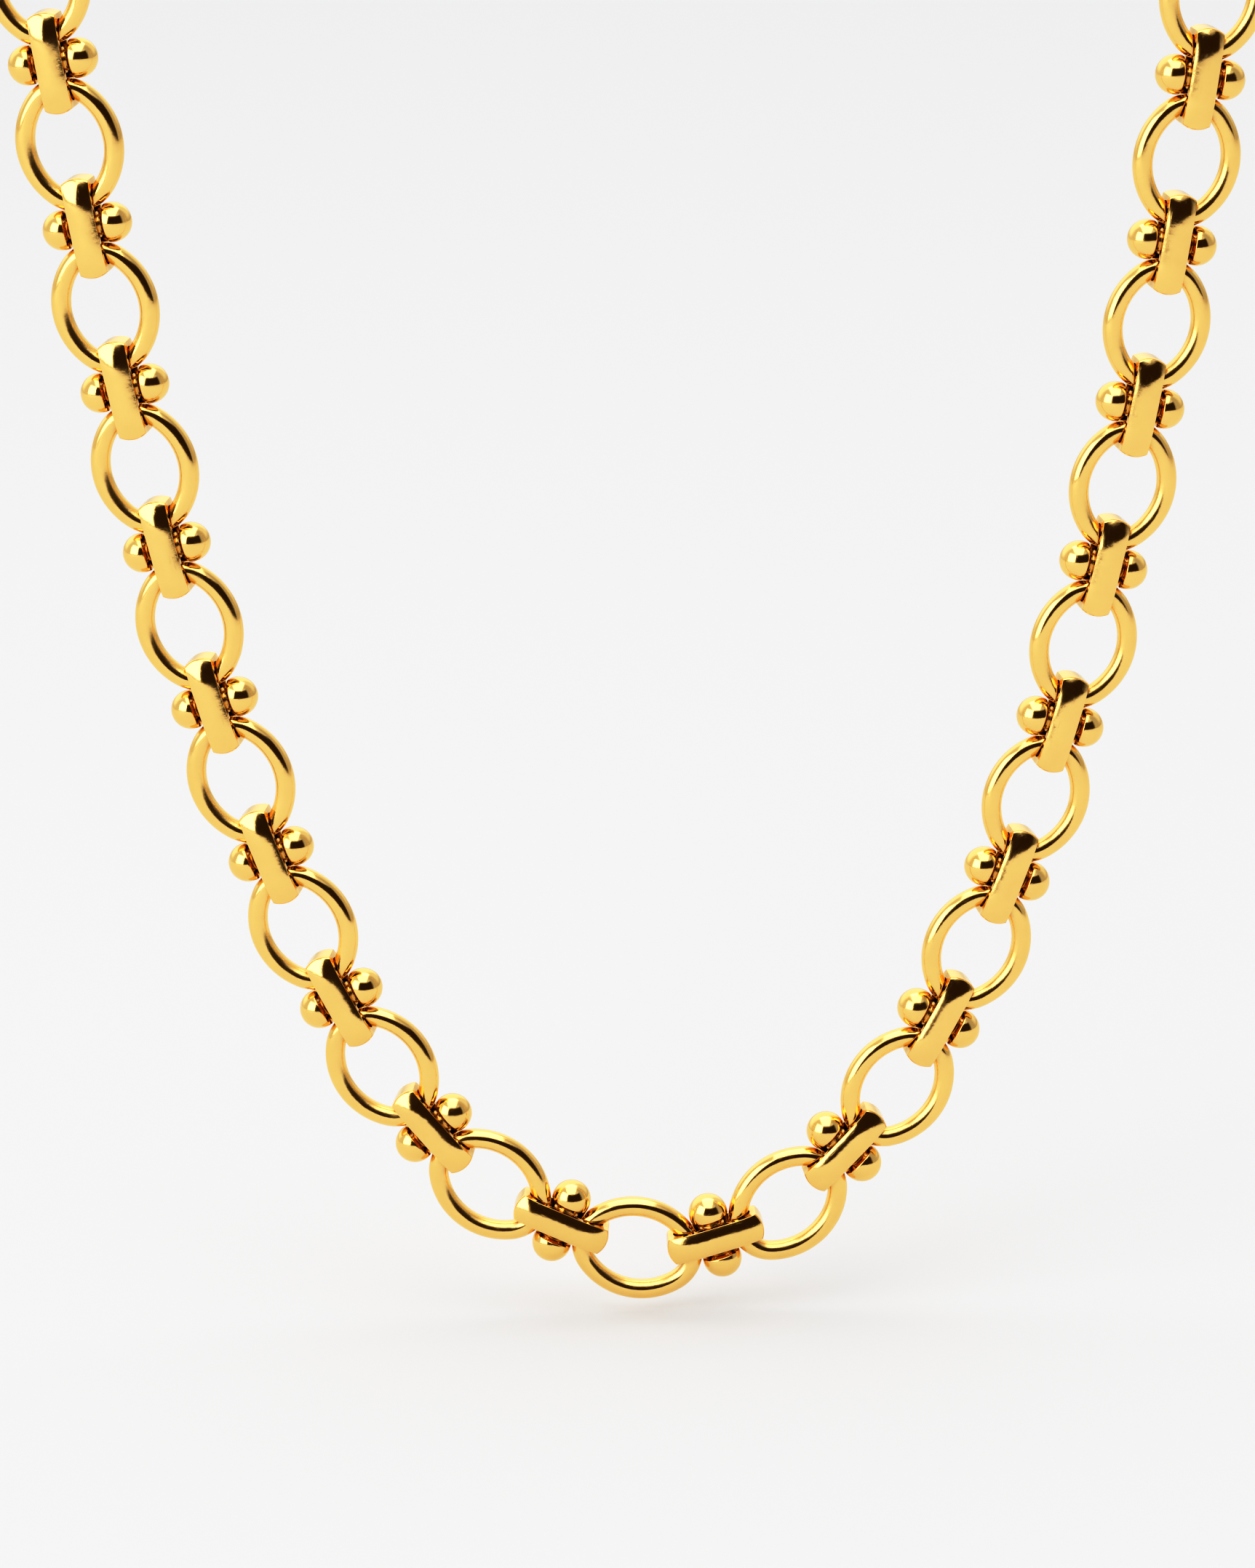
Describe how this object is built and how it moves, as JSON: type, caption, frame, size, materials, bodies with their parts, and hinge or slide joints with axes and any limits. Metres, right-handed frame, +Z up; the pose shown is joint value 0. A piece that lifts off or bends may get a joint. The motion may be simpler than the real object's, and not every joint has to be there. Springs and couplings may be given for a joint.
{
  "type": "chain necklace",
  "caption": "Gold-coloured chain necklace of oval wire rings joined by strap loops that each carry a crosswise bar with a ball on either side, hanging open from its clasp and extender.",
  "frame": {"origin": "lowest point of the bottom centre ring, in the middle of its wire front to back", "axes": "+Z up, +X to the wearer's left as the chain is seen from the front, +Y to the back; the chain hangs along the XZ plane with its two halves turned up to 9 degrees to the back"},
  "size_m": [0.1256, 0.0114, 0.1934],
  "materials": {
    "ring_gold": "mirror-polished yellow gold plating on round wire",
    "connector_gold": "polished yellow gold plating with fine handling marks",
    "clasp_gold": "polished yellow gold plating",
    "finding_gold": "polished yellow gold plating on thin wire",
    "clasp_steel": "plain drawn steel wire"
  },
  "bodies": {
    "ring_01": {"ring_01": "ring_gold"},
    "ring_02": {"ring_02": "ring_gold"},
    "ring_03": {"ring_03": "ring_gold"},
    "ring_04": {"ring_04": "ring_gold"},
    "ring_05": {"ring_05": "ring_gold"},
    "ring_06": {"ring_06": "ring_gold"},
    "ring_07": {"ring_07": "ring_gold"},
    "ring_08": {"ring_08": "ring_gold"},
    "ring_09": {"ring_09": "ring_gold"},
    "ring_10": {"ring_10": "ring_gold"},
    "ring_11": {"ring_11": "ring_gold"},
    "ring_12": {"ring_12": "ring_gold"},
    "ring_13": {"ring_13": "ring_gold"},
    "ring_14": {"ring_14": "ring_gold"},
    "ring_15": {"ring_15": "ring_gold"},
    "ring_16": {"ring_16": "ring_gold"},
    "ring_17": {"ring_17": "ring_gold"},
    "ring_18": {"ring_18": "ring_gold"},
    "ring_19": {"ring_19": "ring_gold"},
    "ring_20": {"ring_20": "ring_gold"},
    "ring_21": {"ring_21": "ring_gold"},
    "ring_22": {"ring_22": "ring_gold"},
    "ring_23": {"ring_23": "ring_gold"},
    "ring_24": {"ring_24": "ring_gold"},
    "ring_25": {"ring_25": "ring_gold"},
    "connector_01": {"connector_01": "connector_gold"},
    "connector_02": {"connector_02": "connector_gold"},
    "connector_03": {"connector_03": "connector_gold"},
    "connector_04": {"connector_04": "connector_gold"},
    "connector_05": {"connector_05": "connector_gold"},
    "connector_06": {"connector_06": "connector_gold"},
    "connector_07": {"connector_07": "connector_gold"},
    "connector_08": {"connector_08": "connector_gold"},
    "connector_09": {"connector_09": "connector_gold"},
    "connector_10": {"connector_10": "connector_gold"},
    "connector_11": {"connector_11": "connector_gold"},
    "connector_12": {"connector_12": "connector_gold"},
    "connector_13": {"connector_13": "connector_gold"},
    "connector_14": {"connector_14": "connector_gold"},
    "connector_15": {"connector_15": "connector_gold"},
    "connector_16": {"connector_16": "connector_gold"},
    "connector_17": {"connector_17": "connector_gold"},
    "connector_18": {"connector_18": "connector_gold"},
    "connector_19": {"connector_19": "connector_gold"},
    "connector_20": {"connector_20": "connector_gold"},
    "connector_21": {"connector_21": "connector_gold"},
    "connector_22": {"connector_22": "connector_gold"},
    "connector_23": {"connector_23": "connector_gold"},
    "connector_24": {"connector_24": "connector_gold"},
    "jump_ring_clasp": {"jump_ring_clasp": "finding_gold"},
    "clasp": {"clasp_body": "clasp_gold", "clasp_pin": "clasp_steel", "clasp_spring": "clasp_steel"},
    "clasp_lever": {"clasp_lever": "clasp_gold"},
    "jump_ring_extender": {"jump_ring_extender": "finding_gold"},
    "end_drop": {"end_drop": "finding_gold"},
    "extender_link_1": {"extender_link_1": "finding_gold"},
    "extender_link_2": {"extender_link_2": "finding_gold"},
    "extender_link_3": {"extender_link_3": "finding_gold"},
    "extender_link_4": {"extender_link_4": "finding_gold"}
  },
  "joints": [
    {"name": "swing_13", "type": "hinge", "parent": "ring_13", "child": "connector_13", "pos_m": [0.00194, 0, 0.00446], "axis": [0, -1, 0], "range_deg": [-64.31, 5.68]},
    {"name": "fold_14", "type": "hinge", "parent": "connector_13", "child": "ring_14", "pos_m": [0.0094, 0.00026, 0.00656], "axis": [0.271, 0.0094, -0.9625], "range_deg": [-45, 45]},
    {"name": "swing_14", "type": "hinge", "parent": "ring_14", "child": "connector_14", "pos_m": [0.01534, 0.00054, 0.01015], "axis": [-0.0618, 0.9981, 0], "range_deg": [-32.47, 37.53]},
    {"name": "fold_15", "type": "hinge", "parent": "connector_14", "child": "ring_15", "pos_m": [0.02074, 0.00099, 0.01569], "axis": [-0.7126, -0.0592, 0.699], "range_deg": [-45, 45]},
    {"name": "swing_15", "type": "hinge", "parent": "ring_15", "child": "connector_15", "pos_m": [0.02526, 0.00141, 0.0212], "axis": [0.0991, -0.9951, 0], "range_deg": [-41.12, 28.88]},
    {"name": "fold_16", "type": "hinge", "parent": "connector_15", "child": "ring_16", "pos_m": [0.02905, 0.00183, 0.02794], "axis": [0.8645, 0.0973, -0.4931], "range_deg": [-45, 45]},
    {"name": "swing_16", "type": "hinge", "parent": "ring_16", "child": "connector_16", "pos_m": [0.03228, 0.00221, 0.0343], "axis": [-0.1217, 0.9926, 0], "range_deg": [-31.66, 38.34]},
    {"name": "fold_17", "type": "hinge", "parent": "connector_16", "child": "ring_17", "pos_m": [0.03513, 0.00259, 0.0415], "axis": [-0.921, -0.1202, 0.3707], "range_deg": [-45, 45]},
    {"name": "swing_17", "type": "hinge", "parent": "ring_17", "child": "connector_17", "pos_m": [0.03759, 0.00292, 0.0482], "axis": [0.1354, -0.9908, 0], "range_deg": [-37.05, 32.95]},
    {"name": "fold_18", "type": "hinge", "parent": "connector_17", "child": "ring_18", "pos_m": [0.03985, 0.00323, 0.05561], "axis": [0.9463, 0.1339, -0.2943], "range_deg": [-45, 45]},
    {"name": "swing_18", "type": "hinge", "parent": "ring_18", "child": "connector_18", "pos_m": [0.04182, 0.00352, 0.06247], "axis": [-0.1437, 0.9896, 0], "range_deg": [-33.62, 36.38]},
    {"name": "fold_19", "type": "hinge", "parent": "connector_18", "child": "ring_19", "pos_m": [0.04369, 0.00379, 0.06999], "axis": [-0.9595, -0.1421, 0.2432], "range_deg": [-45, 45]},
    {"name": "swing_19", "type": "hinge", "parent": "ring_19", "child": "connector_19", "pos_m": [0.04533, 0.00404, 0.07695], "axis": [0.1487, -0.9889, 0], "range_deg": [-35.98, 34.02]},
    {"name": "fold_20", "type": "hinge", "parent": "connector_19", "child": "ring_20", "pos_m": [0.04691, 0.00428, 0.08453], "axis": [0.9672, 0.1472, -0.2069], "range_deg": [-45, 45]},
    {"name": "swing_20", "type": "hinge", "parent": "ring_20", "child": "connector_20", "pos_m": [0.04832, 0.0045, 0.09154], "axis": [-0.1517, 0.9884, 0], "range_deg": [-34.27, 35.73]},
    {"name": "fold_21", "type": "hinge", "parent": "connector_20", "child": "ring_21", "pos_m": [0.0497, 0.00471, 0.09916], "axis": [-0.9722, -0.1503, 0.1798], "range_deg": [-45, 45]},
    {"name": "swing_21", "type": "hinge", "parent": "ring_21", "child": "connector_21", "pos_m": [0.05092, 0.0049, 0.1062], "axis": [0.1536, -0.9881, 0], "range_deg": [-35.57, 34.43]},
    {"name": "fold_22", "type": "hinge", "parent": "connector_21", "child": "ring_22", "pos_m": [0.05214, 0.00509, 0.11385], "axis": [0.9755, 0.1523, -0.1589], "range_deg": [-45, 45]},
    {"name": "swing_22", "type": "hinge", "parent": "ring_22", "child": "connector_22", "pos_m": [0.05323, 0.00526, 0.12092], "axis": [-0.1547, 0.988, 0], "range_deg": [-34.55, 35.45]},
    {"name": "fold_23", "type": "hinge", "parent": "connector_22", "child": "ring_23", "pos_m": [0.05432, 0.00543, 0.12859], "axis": [-0.9778, -0.1535, 0.1424], "range_deg": [-45, 45]},
    {"name": "swing_23", "type": "hinge", "parent": "ring_23", "child": "connector_23", "pos_m": [0.0553, 0.00558, 0.13567], "axis": [0.1554, -0.9879, 0], "range_deg": [-35.37, 34.63]},
    {"name": "fold_24", "type": "hinge", "parent": "connector_23", "child": "ring_24", "pos_m": [0.05628, 0.00574, 0.14335], "axis": [0.9796, 0.1543, -0.1289], "range_deg": [-45, 45]},
    {"name": "swing_24", "type": "hinge", "parent": "ring_24", "child": "connector_24", "pos_m": [0.05717, 0.00588, 0.15045], "axis": [-0.1558, 0.9878, 0], "range_deg": [-34.69, 35.31]},
    {"name": "fold_25", "type": "hinge", "parent": "connector_24", "child": "ring_25", "pos_m": [0.05807, 0.00602, 0.15814], "axis": [-0.9809, -0.1549, 0.1177], "range_deg": [-45, 45]},
    {"name": "swing_12", "type": "hinge", "parent": "ring_13", "child": "connector_12", "pos_m": [-0.00194, 0, 0.0054], "axis": [0, 1, 0], "range_deg": [-46.1, 23.9]},
    {"name": "fold_12", "type": "hinge", "parent": "connector_12", "child": "ring_12", "pos_m": [-0.00898, 0.00024, 0.00864], "axis": [0.4174, -0.0145, 0.9086], "range_deg": [-45, 45]},
    {"name": "swing_11", "type": "hinge", "parent": "ring_12", "child": "connector_11", "pos_m": [-0.01491, 0.00053, 0.01251], "axis": [-0.0618, -0.9981, 0], "range_deg": [-24.49, 45.51]},
    {"name": "fold_11", "type": "hinge", "parent": "connector_11", "child": "ring_11", "pos_m": [-0.01986, 0.00094, 0.01846], "axis": [-0.7658, 0.0636, -0.6399], "range_deg": [-45, 45]},
    {"name": "swing_10", "type": "hinge", "parent": "ring_11", "child": "connector_10", "pos_m": [-0.024, 0.00132, 0.02426], "axis": [0.0991, 0.9951, 0], "range_deg": [-40.23, 29.77]},
    {"name": "fold_10", "type": "hinge", "parent": "connector_10", "child": "ring_10", "pos_m": [-0.02753, 0.00172, 0.03115], "axis": [0.8835, -0.0994, 0.4578], "range_deg": [-45, 45]},
    {"name": "swing_09", "type": "hinge", "parent": "ring_10", "child": "connector_09", "pos_m": [-0.03054, 0.00208, 0.03762], "axis": [-0.1217, -0.9926, 0], "range_deg": [-32.06, 37.94]},
    {"name": "fold_09", "type": "hinge", "parent": "connector_09", "child": "ring_09", "pos_m": [-0.03322, 0.00243, 0.04488], "axis": [-0.9292, 0.1213, -0.3492], "range_deg": [-45, 45]},
    {"name": "swing_08", "type": "hinge", "parent": "ring_09", "child": "connector_08", "pos_m": [-0.03554, 0.00274, 0.05164], "axis": [0.1354, 0.9908, 0], "range_deg": [-36.85, 33.15]},
    {"name": "fold_08", "type": "hinge", "parent": "connector_08", "child": "ring_08", "pos_m": [-0.03769, 0.00304, 0.05908], "axis": [0.9505, -0.1344, 0.2803], "range_deg": [-45, 45]},
    {"name": "swing_07", "type": "hinge", "parent": "ring_08", "child": "connector_07", "pos_m": [-0.03958, 0.00331, 0.06597], "axis": [-0.1437, -0.9896, 0], "range_deg": [-33.74, 36.26]},
    {"name": "fold_07", "type": "hinge", "parent": "connector_07", "child": "ring_07", "pos_m": [-0.04137, 0.00358, 0.0735], "axis": [-0.9619, 0.1425, -0.2334], "range_deg": [-45, 45]},
    {"name": "swing_06", "type": "hinge", "parent": "ring_07", "child": "connector_06", "pos_m": [-0.04294, 0.00381, 0.08047], "axis": [0.1487, 0.9889, 0], "range_deg": [-35.91, 34.09]},
    {"name": "fold_06", "type": "hinge", "parent": "connector_06", "child": "ring_06", "pos_m": [-0.04447, 0.00404, 0.08807], "axis": [0.9687, -0.1474, 0.1997], "range_deg": [-45, 45]},
    {"name": "swing_05", "type": "hinge", "parent": "ring_06", "child": "connector_05", "pos_m": [-0.04583, 0.00425, 0.09508], "axis": [-0.1517, -0.9884, 0], "range_deg": [-34.31, 35.69]},
    {"name": "fold_05", "type": "hinge", "parent": "connector_05", "child": "ring_05", "pos_m": [-0.04717, 0.00446, 0.10271], "axis": [-0.9731, 0.1504, -0.1743], "range_deg": [-45, 45]},
    {"name": "swing_04", "type": "hinge", "parent": "ring_05", "child": "connector_04", "pos_m": [-0.04836, 0.00464, 0.10976], "axis": [0.1536, 0.9881, 0], "range_deg": [-35.54, 34.46]},
    {"name": "fold_04", "type": "hinge", "parent": "connector_04", "child": "ring_04", "pos_m": [-0.04954, 0.00483, 0.11742], "axis": [0.9762, -0.1524, 0.1546], "range_deg": [-45, 45]},
    {"name": "swing_03", "type": "hinge", "parent": "ring_04", "child": "connector_03", "pos_m": [-0.0506, 0.00499, 0.12449], "axis": [-0.1547, -0.988, 0], "range_deg": [-34.57, 35.43]},
    {"name": "fold_03", "type": "hinge", "parent": "connector_03", "child": "ring_03", "pos_m": [-0.05166, 0.00516, 0.13216], "axis": [-0.9783, 0.1536, -0.1389], "range_deg": [-45, 45]},
    {"name": "swing_02", "type": "hinge", "parent": "ring_03", "child": "connector_02", "pos_m": [-0.05262, 0.00531, 0.13925], "axis": [0.1554, 0.9879, 0], "range_deg": [-35.35, 34.65]},
    {"name": "fold_02", "type": "hinge", "parent": "connector_02", "child": "ring_02", "pos_m": [-0.05358, 0.00546, 0.14694], "axis": [0.9799, -0.1544, 0.126], "range_deg": [-45, 45]},
    {"name": "swing_01", "type": "hinge", "parent": "ring_02", "child": "connector_01", "pos_m": [-0.05445, 0.0056, 0.15403], "axis": [-0.1558, -0.9878, 0], "range_deg": [-34.7, 35.3]},
    {"name": "fold_01", "type": "hinge", "parent": "connector_01", "child": "ring_01", "pos_m": [-0.05533, 0.00574, 0.16173], "axis": [-0.9812, 0.1549, -0.1153], "range_deg": [-45, 45]},
    {"name": "fold_jump_clasp", "type": "hinge", "parent": "ring_01", "child": "jump_ring_clasp", "pos_m": [-0.05647, 0.00592, 0.17197], "axis": [0.9817, -0.1551, 0.1106], "range_deg": [-50, 50]},
    {"name": "swing_clasp", "type": "hinge", "parent": "jump_ring_clasp", "child": "clasp", "pos_m": [-0.05688, 0.00598, 0.17567], "axis": [0.156, 0.9877, 0], "range_deg": [-40, 40]},
    {"name": "lever_opens", "type": "hinge", "parent": "clasp", "child": "clasp_lever", "pos_m": [-0.05582, 0.00582, 0.18048], "axis": [-0.156, -0.9877, 0], "range_deg": [0, 25], "stiffness_Nm_per_rad": 0.002, "springref_deg": -20},
    {"name": "fold_jump_extender", "type": "hinge", "parent": "ring_25", "child": "jump_ring_extender", "pos_m": [0.05923, 0.0062, 0.16838], "axis": [0.9814, 0.1551, -0.1128], "range_deg": [-50, 50]},
    {"name": "extender_1", "type": "hinge", "parent": "jump_ring_extender", "child": "extender_link_1", "pos_m": [0.05965, 0.00627, 0.17208], "axis": [-0.156, 0.9877, 0], "range_deg": [-45, 45]},
    {"name": "extender_2", "type": "hinge", "parent": "extender_link_1", "child": "extender_link_2", "pos_m": [0.06008, 0.00634, 0.17594], "axis": [0.9814, 0.1551, -0.1128], "range_deg": [-45, 45]},
    {"name": "extender_3", "type": "hinge", "parent": "extender_link_2", "child": "extender_link_3", "pos_m": [0.06052, 0.00641, 0.17984], "axis": [-0.156, 0.9877, 0], "range_deg": [-45, 45]},
    {"name": "extender_4", "type": "hinge", "parent": "extender_link_3", "child": "extender_link_4", "pos_m": [0.06096, 0.00648, 0.18375], "axis": [0.9814, 0.1551, -0.1128], "range_deg": [-45, 45]},
    {"name": "drop_swings", "type": "hinge", "parent": "extender_link_4", "child": "end_drop", "pos_m": [0.0614, 0.00655, 0.18765], "axis": [-0.156, 0.9877, 0], "range_deg": [-45, 45]}
  ]
}
